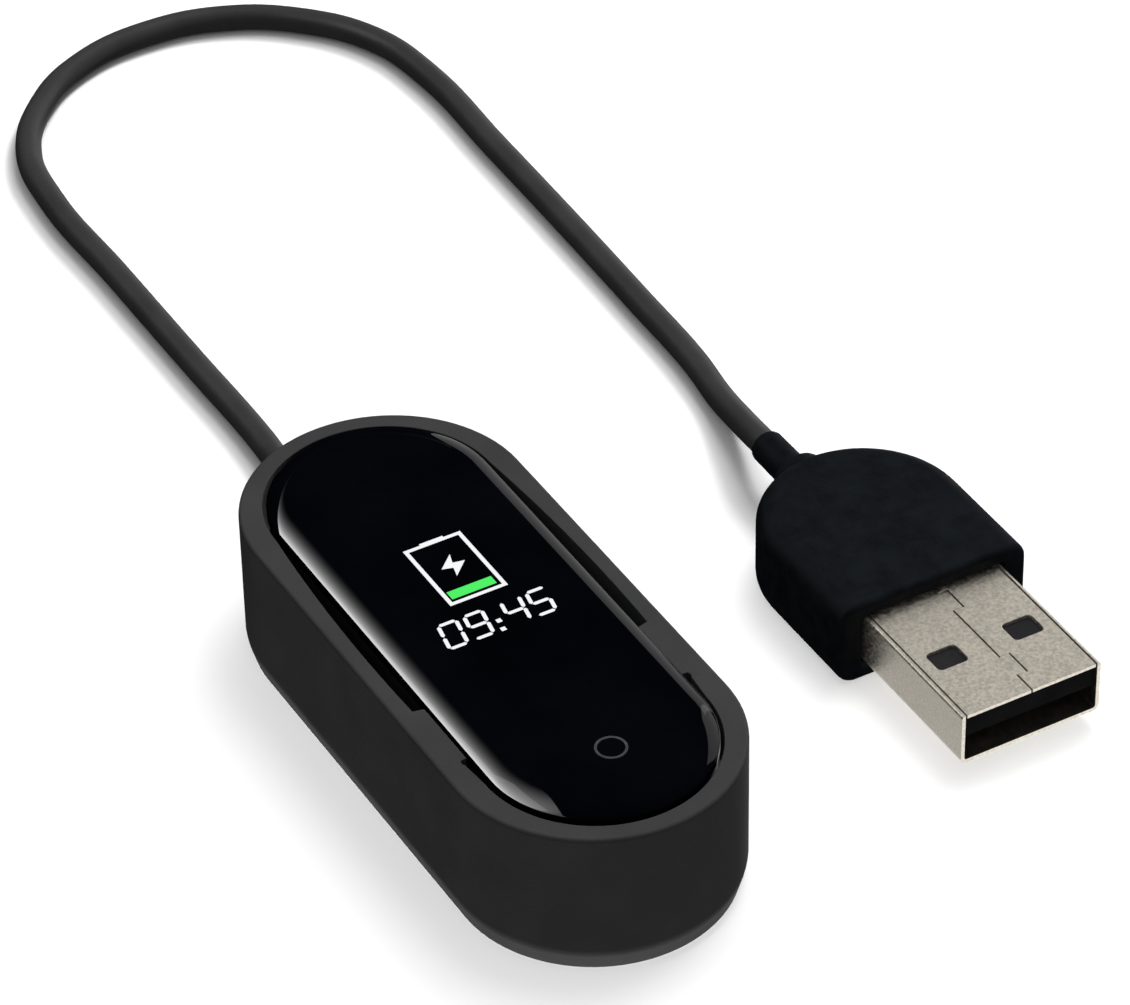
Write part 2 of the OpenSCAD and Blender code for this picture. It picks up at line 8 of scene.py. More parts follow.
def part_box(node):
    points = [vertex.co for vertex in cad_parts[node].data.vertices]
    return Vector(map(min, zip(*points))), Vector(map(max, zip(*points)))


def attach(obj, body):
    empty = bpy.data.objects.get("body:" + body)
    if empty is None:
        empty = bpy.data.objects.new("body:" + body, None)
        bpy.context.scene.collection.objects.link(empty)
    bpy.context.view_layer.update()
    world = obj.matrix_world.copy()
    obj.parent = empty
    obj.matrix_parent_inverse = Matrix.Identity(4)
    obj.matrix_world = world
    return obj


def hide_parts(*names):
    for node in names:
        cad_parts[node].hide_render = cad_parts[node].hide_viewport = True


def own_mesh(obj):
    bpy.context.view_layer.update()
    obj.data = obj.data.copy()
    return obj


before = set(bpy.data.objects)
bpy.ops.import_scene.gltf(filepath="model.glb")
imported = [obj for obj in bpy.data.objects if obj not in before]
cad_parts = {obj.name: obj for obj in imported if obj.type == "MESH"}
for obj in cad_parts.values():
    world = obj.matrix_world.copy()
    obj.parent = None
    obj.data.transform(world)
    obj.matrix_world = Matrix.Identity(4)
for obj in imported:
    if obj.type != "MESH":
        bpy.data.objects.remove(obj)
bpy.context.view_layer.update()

# ---------- Table top, camera and studio light ----------
# The tracker and its cradle lie on a plain white table. Three lamps stand over the far right side, so that soft
# shadows fall towards the near left, and softboxes and a card, seen only in polished surfaces, edge the glass.
MM = 0.001
scene = bpy.context.scene
scene.view_settings.view_transform = "Standard"
scene.view_settings.look = "None"


def link(obj):
    scene.collection.objects.link(obj)
    return obj


def surface(name, colour, roughness):
    """A material with one shader, with its nodes and links, from which a finish is built."""
    material = bpy.data.materials.new(name)
    material.use_nodes = True
    nodes = material.node_tree.nodes
    shader = nodes["Principled BSDF"]
    shader.inputs["Base Color"].default_value = (*colour, 1)
    shader.inputs["Roughness"].default_value = roughness
    return material, nodes, material.node_tree.links, shader


table_half, table_gap = 6, 0.02 * MM
table_material, *_, table_shader = surface("table_white", (0.88, 0.88, 0.88), 0.9)
table_shader.inputs["Specular IOR Level"].default_value = 0.1
bm = bmesh.new()
bmesh.ops.create_grid(bm, x_segments=1, y_segments=1, size=table_half)
bmesh.ops.translate(bm, verts=bm.verts, vec=(0, 0, -table_gap))
mesh = bpy.data.meshes.new("table_top")
bm.to_mesh(mesh)
bm.free()
mesh.materials.append(table_material)
table_top = link(bpy.data.objects.new("table_top", mesh))
table_top.visible_diffuse = table_top.visible_glossy = table_top.visible_shadow = False

view_turn, view_height, view_roll = math.radians(-29.209), math.radians(38.694), math.radians(-1.141)
view_aim = Vector((10.4407, 6.9044, 13.8849)) * MM
view_distance = 407.44 * MM
towards_camera = Vector((
    math.sin(view_turn) * math.cos(view_height),
    -math.cos(view_turn) * math.cos(view_height),
    math.sin(view_height),
))
camera = link(bpy.data.objects.new("camera", bpy.data.cameras.new("camera")))
camera.data.lens = 177.39
camera.data.sensor_width = 36
camera.data.clip_start, camera.data.clip_end = 0.01, 50
camera.location = view_aim + view_distance * towards_camera
camera.rotation_euler = (
    Matrix.Rotation(view_turn, 3, "Z")
    @ Matrix.Rotation(math.pi / 2 - view_height, 3, "X")
    @ Matrix.Rotation(view_roll, 3, "Z")
).to_euler()
scene.camera = camera


def softbox(name, towards, distance, size, radiance, glossy, diffuse):
    """An area light that faces the object. Its power follows from its brightness and size."""
    light = bpy.data.lights.new(name, "AREA")
    light.shape = "RECTANGLE"
    light.size, light.size_y = size
    light.energy = radiance * math.pi * size[0] * size[1]
    box = link(bpy.data.objects.new(name, light))
    towards = Vector(towards).normalized()
    box.location = towards * distance
    box.rotation_euler = (-towards).to_track_quat("-Z", "Y").to_euler()
    box.visible_glossy, box.visible_diffuse = glossy, diffuse
    box.visible_camera = False
    return box


def everything(bm):
    """All of a mesh, as a cut or a mirror asks for it."""
    return bm.verts[:] + bm.edges[:] + bm.faces[:]


def card_light(name, target, radius, strength, dark_part):
    """A half-round card overhead, seen only in polished surfaces. It is dark at its middle, brightens steeply
    towards its edge, and fades towards the camera."""
    cut_turn = (0.74, -0.67, 0)
    cut_across = 0.24 * radius
    bright_by, steepness = 0.85 * radius, 2.3
    fade_from, fade_to, faded_level = -0.1 * radius, 0.47 * radius, 0.08
    bm = bmesh.new()
    bmesh.ops.create_circle(
        bm, cap_ends=True, segments=64, radius=radius, matrix=Matrix.Translation(target),
    )
    for plane_co, plane_no in ((target, cut_turn), (target + Vector((0, cut_across, 0)), (0, 1, 0))):
        bmesh.ops.bisect_plane(
            bm, geom=everything(bm), dist=0.0001, plane_co=plane_co, plane_no=plane_no, clear_outer=True,
        )
    mesh = bpy.data.meshes.new(name)
    bm.to_mesh(mesh)
    bm.free()
    material = bpy.data.materials.new(name)
    material.use_nodes = True
    nodes, links = material.node_tree.nodes, material.node_tree.links
    nodes.clear()
    place = nodes.new("ShaderNodeTexCoord")
    apart = nodes.new("ShaderNodeVectorMath")
    apart.operation = "DISTANCE"
    apart.inputs[1].default_value = target
    links.new(place.outputs["Object"], apart.inputs[0])
    rise = nodes.new("ShaderNodeMapRange")
    rise.inputs["From Min"].default_value, rise.inputs["From Max"].default_value = dark_part * radius, bright_by
    links.new(apart.outputs["Value"], rise.inputs["Value"])
    curve = nodes.new("ShaderNodeMath")
    curve.operation = "POWER"
    curve.inputs[1].default_value = steepness
    links.new(rise.outputs["Result"], curve.inputs[0])
    level = nodes.new("ShaderNodeMath")
    level.operation = "MULTIPLY"
    level.inputs[1].default_value = strength
    links.new(curve.outputs["Value"], level.inputs[0])
    along = nodes.new("ShaderNodeSeparateXYZ")
    links.new(place.outputs["Object"], along.inputs["Vector"])
    fade = nodes.new("ShaderNodeMapRange")
    fade.inputs["From Min"].default_value, fade.inputs["From Max"].default_value = fade_from, fade_to
    fade.inputs["To Min"].default_value = faded_level
    links.new(along.outputs["Y"], fade.inputs["Value"])
    faded = nodes.new("ShaderNodeMath")
    faded.operation = "MULTIPLY"
    links.new(level.outputs["Value"], faded.inputs[0])
    links.new(fade.outputs["Result"], faded.inputs[1])
    glow = nodes.new("ShaderNodeEmission")
    links.new(faded.outputs["Value"], glow.inputs["Strength"])
    output = nodes.new("ShaderNodeOutputMaterial")
    links.new(glow.outputs["Emission"], output.inputs["Surface"])
    mesh.materials.append(material)
    card = link(bpy.data.objects.new(name, mesh))
    card.visible_camera = card.visible_diffuse = card.visible_shadow = False
    return card


key_distance, edge_distance = 0.9, 0.7
softbox("high_key", (0.30, 0.16, 0.94), key_distance, (0.35, 0.35), 6.4, False, True)
low_key = softbox("low_key", (0.62, 0.30, 0.72), key_distance, (0.24, 0.24), 33, False, True)
softbox("middle_key", (0.48, 0.25, 0.84), key_distance, (0.30, 0.30), 2, False, True)
table_glow = softbox("table_glow", (0.02, 0.01, -1), 0.5, (0.2, 0.2), 125, False, True)
softbox("left_soft_box", (-0.5, 0.3, 0.62), edge_distance, (0.5, 0.4), 1.3, True, False)
softbox("right_box", (0.70, 0.68, -0.25), edge_distance, (0.32, 1.06), 0.42, True, False)
softbox("right_near_box", (0.90, 0.30, 0.30), edge_distance, (0.42, 0.40), 0.5, True, False)
overhead = 0.8
left_card = card_light("left_card", Vector((0.61, 1.09, 1)) * overhead, 2.19 * overhead, 16.5, 0.183)

# the room is brightest overhead and dark at the horizon, and the table gives light back from below
world = bpy.data.worlds.new("studio")
scene.world = world
world.use_nodes = True
room, room_links = world.node_tree.nodes, world.node_tree.links
direction = room.new("ShaderNodeTexCoord")
parts = room.new("ShaderNodeSeparateXYZ")
room_links.new(direction.outputs["Generated"], parts.inputs["Vector"])
height = room.new("ShaderNodeMapRange")
height.inputs["From Min"].default_value = -1
room_links.new(parts.outputs["Z"], height.inputs["Value"])
brightness = room.new("ShaderNodeValToRGB")
levels = brightness.color_ramp.elements
levels[0].position, levels[1].position = 0.49, 1
levels.new(0.5)
for stop, level in zip(levels, (0.45, 0.06, 0.68)):
    stop.color = (level, level, level, 1)
room_links.new(height.outputs["Result"], brightness.inputs["Fac"])
room_links.new(brightness.outputs["Color"], room["Background"].inputs["Color"])
room["Background"].inputs["Strength"].default_value = 1
world.cycles_visibility.glossy = False

# ---------- Cradle shell ----------
# One injection moulding in black ABS with a fine matt spark finish. Its cavity follows the tracker, bulges a little
# along both sides so that a fingertip can lift the tracker out, and has two lugs that keep the tracker centred.
dock_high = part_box("dock_shell")[1] / MM
dock_r = dock_high.x
dock_s = dock_high.y - dock_r
rim_z = dock_high.z
base_band, base_in, foot_z, foot_in = 1.7, 0.45, 0.1, 0.65
seat_r, seat_s, seat_z, hollow = 8.95, 15.6, 8.6, 0.75
well_r, well_s, well_z = 8.1, 14.55, 3.2
opening_r, opening_z = 8.7, 2.4
contact_x, contact_y, barrel_hole_r = 2.2, -15, 0.875
lug_near, lug_far, lug_x, lug_corner = -12.6, -6.6, 8.73, 0.12


def only_verts(geometry):
    """The vertices among the vertices, edges and faces that an operator gives back."""
    return [part for part in geometry if isinstance(part, bmesh.types.BMVert)]


def go_round(profile, half_length, steps=48):
    """A wall round a long outline with round ends: the profile's radii and heights are spun about the far end,
    drawn out along both sides and mirrored. Each ring of vertices keeps its number in the profile."""
    bm = bmesh.new()
    ring = bm.verts.layers.int.new("ring")
    chain = []
    for number, (radius, height) in enumerate(profile):
        vert = bm.verts.new((radius, half_length, height))
        vert[ring] = number
        chain.append(vert)
    edges = [bm.edges.new(pair) for pair in zip(chain, chain[1:])]
    bmesh.ops.spin(
        bm, geom=chain + edges, cent=(0, half_length, 0), axis=(0, 0, 1), angle=math.pi, steps=steps,
        use_merge=False,
    )
    ends = [e for e in bm.edges if all(abs(v.co.y - half_length) < 0.0001 for v in e.verts)]
    drawn = bmesh.ops.extrude_edge_only(bm, edges=ends)["geom"]
    for vert in only_verts(drawn):
        vert.co.y = 0
    bmesh.ops.mirror(bm, geom=everything(bm), axis="Y", merge_dist=0.001)
    bmesh.ops.remove_doubles(bm, verts=bm.verts, dist=0.001)
    bmesh.ops.recalc_face_normals(bm, faces=bm.faces)
    return bm


def ring_verts(bm, *numbers):
    ring = bm.verts.layers.int["ring"]
    return [v for v in bm.verts if v[ring] in numbers]


def ring_edges(bm, number):
    members = set(ring_verts(bm, number))
    return [e for e in bm.edges if e.verts[0] in members and e.verts[1] in members]


def slide_ends(bm, shift, *numbers):
    """Moves the round ends of these rings out or in along the piece."""
    for vert in ring_verts(bm, *numbers):
        if vert.co.y:
            vert.co.y += math.copysign(shift, vert.co.y)


def round_over(bm, edges, offset, segments):
    bmesh.ops.bevel(
        bm, geom=edges, offset=offset, offset_type="OFFSET", segments=segments, profile=0.5, affect="EDGES",
        material=-1, clamp_overlap=True,
    )


def circle_edges(bm, x, y, z, radius, segments=32):
    made = bmesh.ops.create_circle(
        bm, cap_ends=False, segments=segments, radius=radius, matrix=Matrix.Translation((x, y, z)),
    )["verts"]
    return list({e for v in made for e in v.link_edges})


def piece(name, bm, material, body, replaces=(), sharp=35):
    """Turns a mesh made in millimetres into a finished piece in place, shaded smooth up to its sharp edges."""
    bmesh.ops.scale(bm, verts=bm.verts, vec=(MM, MM, MM))
    mesh = bpy.data.meshes.new(name)
    bm.to_mesh(mesh)
    bm.free()
    mesh.materials.append(material)
    mesh.shade_smooth()
    mesh.set_sharp_from_angle(angle=math.radians(sharp))
    obj = link(bpy.data.objects.new(name, mesh))
    even = obj.modifiers.new("even_normals", "WEIGHTED_NORMAL")
    even.keep_sharp = True
    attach(obj, body)
    if replaces:
        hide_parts(*replaces)
    return obj


def give_finish(node, material):
    """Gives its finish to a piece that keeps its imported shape."""
    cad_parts[node].data.materials.clear()
    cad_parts[node].data.materials.append(material)


def moulded(name, colour, roughness, grain, height, mottle=0.08, spread=0.05, patch=5.0, specular=0.5, metallic=0.0):
    """A finish whose colour and gloss drift slightly over the surface, under a fine grain. Sizes in millimetres."""
    material, nodes, links, shader = surface(name, colour, roughness)
    shader.inputs["Specular IOR Level"].default_value = specular
    shader.inputs["Metallic"].default_value = metallic
    place = nodes.new("ShaderNodeTexCoord")
    fine = nodes.new("ShaderNodeTexNoise")
    fine.inputs["Scale"].default_value = 1 / (grain * MM)
    fine.inputs["Detail"].default_value = 3
    broad = nodes.new("ShaderNodeTexNoise")
    broad.inputs["Scale"].default_value = 1 / (patch * MM)
    broad.inputs["Detail"].default_value = 5
    for noise in (fine, broad):
        links.new(place.outputs["Object"], noise.inputs["Vector"])
    tone = nodes.new("ShaderNodeValToRGB")
    drift_low, drift_high = 0.35, 0.65
    for stop, level, factor in zip(tone.color_ramp.elements, (drift_low, drift_high), (1 - mottle, 1 + mottle)):
        stop.position = level
        stop.color = (*(channel * factor for channel in colour), 1)
    links.new(broad.outputs["Fac"], tone.inputs["Fac"])
    links.new(tone.outputs["Color"], shader.inputs["Base Color"])
    gloss = nodes.new("ShaderNodeMapRange")
    gloss.inputs["From Min"].default_value, gloss.inputs["From Max"].default_value = drift_low, drift_high
    gloss.inputs["To Min"].default_value = roughness - spread
    gloss.inputs["To Max"].default_value = roughness + spread
    links.new(broad.outputs["Fac"], gloss.inputs["Value"])
    links.new(gloss.outputs["Result"], shader.inputs["Roughness"])
    bump = nodes.new("ShaderNodeBump")
    bump.inputs["Distance"].default_value = height * MM
    links.new(fine.outputs["Fac"], bump.inputs["Height"])
    links.new(bump.outputs["Normal"], shader.inputs["Normal"])
    return material, nodes, links, shader


bm = go_round([
    (opening_r, opening_z), (opening_r, 0), (dock_r - foot_in, 0), (dock_r - base_in, foot_z), (dock_r, base_band),
    (dock_r, rim_z), (seat_r, rim_z), (seat_r, seat_z), (well_r, seat_z), (well_r, well_z),
], dock_s)
slide_ends(bm, seat_s - dock_s, 6, 7)
slide_ends(bm, well_s - dock_s, 8, 9)
# the cavity's sides are cut across, close together at the lugs, and each cut is moved out to the bulge or the lug
stations = [1.5 * step - 13.5 for step in range(19)] + [lug_near - 0.6, lug_near - 0.35, lug_near - 0.02]
stations += [lug_near, lug_far, lug_far + lug_corner, lug_far + 0.15, lug_far + 0.3]
for station in stations:
    bmesh.ops.bisect_plane(
        bm, geom=everything(bm), dist=0.0001, plane_co=(0, station, 0), plane_no=(0, 1, 0),
    )
wide_r = (seat_s**2 + hollow**2) / (2 * hollow)
for vert in ring_verts(bm, 6, 7):
    along = vert.co.y
    if abs(along) >= seat_s - 0.01:
        continue
    bulge = seat_r + hollow - wide_r + math.sqrt(wide_r**2 - along**2)
    if lug_near - 0.01 < along < lug_far + 0.01:
        bulge = lug_x
    elif lug_far < along < lug_far + 0.13:
        bulge = lug_x + 0.05
    elif lug_far < along < lug_far + 0.2:
        bulge = lug_x + 0.2
    elif lug_near - 0.4 < along < lug_near - 0.3:
        bulge += lug_corner
    vert.co.x = math.copysign(bulge, vert.co.x)
for ring_number, edge_r, segments in ((4, 0.35, 4), (5, 0.3, 5), (6, 0.1, 3), (1, 0.15, 3)):
    round_over(bm, ring_edges(bm, ring_number), edge_r, segments)
bmesh.ops.contextual_create(bm, geom=ring_edges(bm, 0))
barrel_holes = [
    edge for x in (-contact_x, contact_x) for edge in circle_edges(bm, x, contact_y, well_z, barrel_hole_r)
]
bmesh.ops.triangle_fill(bm, use_beauty=True, edges=ring_edges(bm, 9) + barrel_holes, normal=(0, 0, 1))
bmesh.ops.recalc_face_normals(bm, faces=bm.faces)
cradle_black, *_ = moulded(
    "cradle_spark_finish", (0.038, 0.038, 0.0393), 0.5, grain=0.22, height=0.012, mottle=0.06, specular=0.12,
)
cradle_shell = piece("cradle_shell", bm, cradle_black, "cradle", ["dock_shell"])
# the shell stays out of reflections, so that the glass's edge mirrors the softboxes and not the cavity's rim
cradle_shell.visible_glossy = False
lit_from_below = bpy.data.collections.new("lit_from_below")
lit_from_below.objects.link(cradle_shell)
table_glow.light_linking.receiver_collection = lit_from_below

# ---------- Base cover and circuit board ----------
# The cover is a flat ABS plate, pressed into the underside with two low ribs that hold the circuit board off it.
# The board is green glass-fibre laminate under solder mask, and it is seen only when the cover is off.
cover_black, *_ = moulded(
    "cover_spark_finish", (0.036, 0.036, 0.038), 0.6, grain=0.3, height=0.02, mottle=0.1, specular=0.25,
)
give_finish("dock_base_cover", cover_black)


def laminate(name, mask_colour, trace_colour):
    """Solder mask over a weave of copper traces, which show as a lighter brick pattern."""
    material, nodes, links, shader = surface(name, mask_colour, 0.35)
    place = nodes.new("ShaderNodeTexCoord")
    traces = nodes.new("ShaderNodeTexBrick")
    traces.inputs["Scale"].default_value = 1 / (3 * MM)
    traces.inputs["Color1"].default_value = (*mask_colour, 1)
    traces.inputs["Color2"].default_value = (*(channel * 0.85 for channel in mask_colour), 1)
    traces.inputs["Mortar"].default_value = (*trace_colour, 1)
    traces.inputs["Mortar Size"].default_value = 0.03
    links.new(place.outputs["Object"], traces.inputs["Vector"])
    links.new(traces.outputs["Color"], shader.inputs["Base Color"])
    bump = nodes.new("ShaderNodeBump")
    bump.inputs["Distance"].default_value = 0.02 * MM
    links.new(traces.outputs["Fac"], bump.inputs["Height"])
    links.new(bump.outputs["Normal"], shader.inputs["Normal"])
    return material


green_board = laminate("green_laminate", (0.012, 0.12, 0.05), (0.05, 0.26, 0.1))
give_finish("dock_circuit_board", green_board)

# ---------- Charging pins ----------
# Two spring-loaded pins in brass barrels, soldered to the board and flush with the cavity's floor. Barrels and pins
# are gold plated. The coil springs are stainless steel, and shorten as the pins go down.
gold_plate, *_ = moulded(
    "gold_plate", (0.83, 0.6, 0.26), 0.24, grain=0.12, height=0.004, mottle=0.08, spread=0.06, patch=1.5,
    metallic=1.0,
)
spring_steel, *_ = moulded(
    "spring_steel", (0.6, 0.6, 0.61), 0.3, grain=0.1, height=0.01, mottle=0.1, patch=0.8, metallic=1.0,
)
give_finish("pogo_barrels", gold_plate)
spring_travel, shaft_r, collar_t, pin_round = 0.71, 0.45, 0.25, 0.05
for side in ("left", "right"):
    node = "pogo_pin_" + side
    low, high = (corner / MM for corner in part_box(node))
    pin_x = (low.x + high.x) / 2
    pin_y = (low.y + high.y) / 2
    tip_z, collar_r, collar_top = high.z, (high.x - low.x) / 2, low.z + collar_t
    bm = bmesh.new()
    outline = [
        (0, low.z), (collar_r - pin_round, low.z), (collar_r, low.z + pin_round), (collar_r, collar_top - 0.03),
        (collar_r - 0.03, collar_top), (shaft_r, collar_top), (shaft_r, tip_z - 0.33), (shaft_r - 0.04, tip_z - 0.2),
        (shaft_r - 0.14, tip_z - 0.08), (shaft_r - 0.28, tip_z - 0.015), (0, tip_z),
    ]
    chain = [bm.verts.new((pin_x + radius, pin_y, height)) for radius, height in outline]
    edges = [bm.edges.new(pair) for pair in zip(chain, chain[1:])]
    bmesh.ops.spin(
        bm, geom=chain + edges, cent=(pin_x, pin_y, 0), axis=(0, 0, 1), angle=2 * math.pi, steps=32, use_merge=True,
    )
    bmesh.ops.remove_doubles(bm, verts=bm.verts, dist=0.0005)
    bmesh.ops.recalc_face_normals(bm, faces=bm.faces)
    piece("charging_pin_" + side, bm, gold_plate, "pin_" + side, [node])
    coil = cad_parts["pogo_spring_" + side]
    low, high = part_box(coil.name)
    bm = bmesh.new()
    bm.from_mesh(coil.data)
    bmesh.ops.remove_doubles(bm, verts=bm.verts, dist=0.0005 * MM)
    bm.transform(Matrix.Scale(1 / MM, 4) @ coil.matrix_world)
    spring = piece("contact_spring_" + side, bm, spring_steel, "cradle", [coil.name])
    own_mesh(spring)

# ---------- Cord wires ----------
# Two thin insulated wires join the cord's cut end to the circuit board inside the cradle. Their insulation is
# soft red PVC, slightly glossy.
wire_red, *_ = moulded("red_insulation", (0.42, 0.03, 0.02), 0.35, grain=0.3, height=0.01, mottle=0.12, patch=1.5)
give_finish("cord_wires", wire_red)

# ---------- Tracker case ----------
# The capsule's lower half is a black polycarbonate moulding with a satin finish. A groove below its lip takes a
# wrist strap, and its underside carries the heart-rate window and two charging pads in shallow round pockets.
case_z, case_r, case_s, case_edge_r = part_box("tracker_case")[0].z / MM, 7.8, 14.55, 2.5
groove_z, groove_r, lip_z, lip_r, lip_s, lip_top = 9.0, 7.4, 10.2, 8.5, 15.6, 11.75
lip_w, lip_deep = 1.4, 1.2
window_y, window_r, pad_r, pocket_deep = 3, 3.5, 1.1, 0.3
bm = go_round([
    (case_r, case_z), (case_r, groove_z), (groove_r, groove_z), (groove_r, lip_z), (lip_r, lip_z),
    (lip_r, lip_top), (lip_r - lip_w, lip_top), (lip_r - lip_w, lip_top - lip_deep),
], case_s)
slide_ends(bm, lip_s - case_s, 4, 5, 6, 7)
round_over(bm, ring_edges(bm, 0), case_edge_r, 10)
for ring_number, edge_r in ((1, 0.12), (4, 0.12), (5, 0.08)):
    round_over(bm, ring_edges(bm, ring_number), edge_r, 2)
rim = [e for e in bm.edges if e.is_boundary and all(v.co.z < case_z + 0.001 for v in e.verts)]
window_hole = circle_edges(bm, 0, window_y, case_z, window_r, 64)
pad_holes = [edge for x in (-contact_x, contact_x) for edge in circle_edges(bm, x, contact_y, case_z, pad_r)]
bmesh.ops.triangle_fill(bm, use_beauty=True, edges=rim + window_hole + pad_holes, normal=(0, 0, -1))
pocket = bmesh.ops.extrude_edge_only(bm, edges=pad_holes)["geom"]
bmesh.ops.translate(bm, verts=only_verts(pocket), vec=(0, 0, pocket_deep))
bmesh.ops.recalc_face_normals(bm, faces=bm.faces)
case_black, *_ = moulded(
    "case_satin", (0.02, 0.02, 0.022), 0.34, grain=0.18, height=0.006, mottle=0.06, specular=0.4,
)
piece("tracker_lower_case", bm, case_black, "tracker", ["tracker_case"])
give_finish("charging_pads", gold_plate)
window_dark, *_, window_shader = moulded(
    "smoked_window", (0.03, 0.008, 0.01), 0.06, grain=0.6, height=0.002, mottle=0.2, spread=0.02,
)
window_shader.inputs["Coat Weight"].default_value = 0.6
give_finish("heart_rate_window", window_dark)

# ---------- Inside the tracker ----------
# The main board rests on a ledge in the case. The battery is a lithium pouch in bright foil below it, beside a coin
# vibration motor of drawn steel, whose rotor carries half a disc of tungsten alloy.
give_finish("tracker_main_board", laminate("black_laminate", (0.01, 0.012, 0.014), (0.05, 0.05, 0.045)))
give_finish("heart_rate_sensor", laminate("sensor_laminate", (0.02, 0.05, 0.02), (0.3, 0.28, 0.2)))
battery_foil, *_ = moulded(
    "battery_foil", (0.5, 0.51, 0.53), 0.32, grain=1.1, height=0.08, mottle=0.12, patch=3, metallic=0.9,
)
give_finish("tracker_battery", battery_foil)
tungsten, *_ = moulded(
    "tungsten_alloy", (0.35, 0.33, 0.3), 0.42, grain=0.15, height=0.015, mottle=0.15, patch=1, metallic=1.0,
)
give_finish("motor_rotor", tungsten)
give_finish("motor_can", spring_steel)
give_finish("motor_lid", spring_steel)

# ---------- Gasket and display panel ----------
# A closed loop of black acrylic foam tape bonds the glass to the case's lip. The display is an OLED panel, laminated
# to the back of the glass.
foam_tape, *_ = moulded("foam_tape", (0.02, 0.02, 0.02), 0.85, grain=0.12, height=0.05, mottle=0.2, patch=0.6)
give_finish("glass_gasket", foam_tape)
panel_black, *_ = moulded(
    "display_panel_black", (0.006, 0.006, 0.007), 0.12, grain=0.4, height=0.001, mottle=0.15, spread=0.03,
)
give_finish("display_panel", panel_black)

# ---------- Glass ----------
# The cover glass is 2.5-D: flat in the middle, ground to a soft curve round the edge, polished, and printed black on
# its back. Its straight side is only six tenths of a millimetre high.
glass_low, glass_high = (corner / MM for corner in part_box("tracker_glass"))
glass_r = glass_high.x
glass_s = glass_high.y - glass_r
glass_top, glass_rise, glass_curve, glass_arris, curve_steps = glass_high.z, 0.7, 1.8, 0.12, 12
curve_r = (glass_rise**2 + glass_curve**2) / (2 * glass_rise)
curve_turn = math.asin(glass_curve / curve_r)
flat_r = glass_r - glass_curve
profile = [(flat_r - 0.8, glass_top), (flat_r - 0.2, glass_top)]
for step in range(curve_steps + 1):
    turn = curve_turn * step / curve_steps
    profile.append((flat_r + curve_r * math.sin(turn), glass_top - curve_r * (1 - math.cos(turn))))
profile.append((glass_r, glass_low.z))
bm = go_round(profile, glass_s, steps=64)
round_over(bm, ring_edges(bm, len(profile) - 2), glass_arris, 4)
round_over(bm, ring_edges(bm, len(profile) - 1), glass_arris, 3)
for level in (glass_top, glass_low.z):
    bmesh.ops.contextual_create(
        bm, geom=[e for e in bm.edges if e.is_boundary and all(abs(v.co.z - level) < 0.001 for v in e.verts)],
    )
bmesh.ops.recalc_face_normals(bm, faces=bm.faces)
polished_black, *_ = moulded(
    "polished_black_glass", (0.0012, 0.0014, 0.0022), 0.035, grain=30, height=0.0002, mottle=0.3, spread=0.006,
    patch=9,
)
glass = piece("cover_glass", bm, polished_black, "tracker", ["tracker_glass"], sharp=60)
polished = bpy.data.collections.new("polished")
polished.objects.link(glass)
left_card.light_linking.receiver_collection = polished

# ---------- Touch key ----------
# The key is a place on the glass that feels a fingertip, with no moving part. All that shows is a thin ring, printed
# in grey.
key_low, key_high = (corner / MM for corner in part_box("touch_key_ring"))
key_x, key_y = (key_low.x + key_high.x) / 2, (key_low.y + key_high.y) / 2
key_outer = (key_high.x - key_low.x) / 2
key_line, print_lift, print_t = 0.2, 0.002, 0.004
key_grey, *_ = moulded("key_print_grey", (0.045, 0.045, 0.048), 0.4, grain=0.08, height=0.002, mottle=0.15, patch=0.4)


def flat_piece(bm):
    """Turns a flat print upwards and gives it its thickness."""
    bmesh.ops.recalc_face_normals(bm, faces=bm.faces)
    for face in bm.faces:
        if face.normal.z < 0:
            face.normal_flip()
    grown = bmesh.ops.extrude_face_region(bm, geom=bm.faces[:])["geom"]
    bmesh.ops.translate(bm, verts=only_verts(grown), vec=(0, 0, print_t))
    bmesh.ops.recalc_face_normals(bm, faces=bm.faces)
    return bm


bm = bmesh.new()
circles = [circle_edges(bm, key_x, key_y, glass_top + print_lift, key_outer - depth, 64) for depth in (0, key_line)]
bmesh.ops.bridge_loops(bm, edges=circles[0] + circles[1])
piece("touch_key_print", flat_piece(bm), key_grey, "tracker", ["touch_key_ring"])

# ---------- What the display shows ----------
# Lit dots of the OLED seen through the glass: an upright battery with a charging bolt and a green level bar, and the
# time below it in slanted seven-bar digits.
def lit(name, colour, strength):
    """Light from the display; its fine row pattern comes from a wave along the tracker."""
    material, nodes, links, shader = surface(name, (0.01, 0.01, 0.01), 0.3)
    place = nodes.new("ShaderNodeTexCoord")
    rows = nodes.new("ShaderNodeTexWave")
    rows.bands_direction = "Y"
    rows.inputs["Scale"].default_value = 1 / (0.5 * MM)
    links.new(place.outputs["Object"], rows.inputs["Vector"])
    tone = nodes.new("ShaderNodeValToRGB")
    for stop, factor in zip(tone.color_ramp.elements, (0.93, 1)):
        stop.color = (*(channel * factor for channel in colour), 1)
    links.new(rows.outputs["Fac"], tone.inputs["Fac"])
    links.new(tone.outputs["Color"], shader.inputs["Emission Color"])
    shader.inputs["Emission Strength"].default_value = strength
    return material


lit_white = lit("lit_white", (0.95, 0.96, 0.98), 1.0)
lit_green = lit("lit_green", (0.07, 0.9, 0.13), 1.0)
print_z = glass_top + print_lift


def filled(bm, corners):
    """One flat shape from its corners."""
    bm.faces.new([bm.verts.new((x, y, print_z)) for x, y in corners])


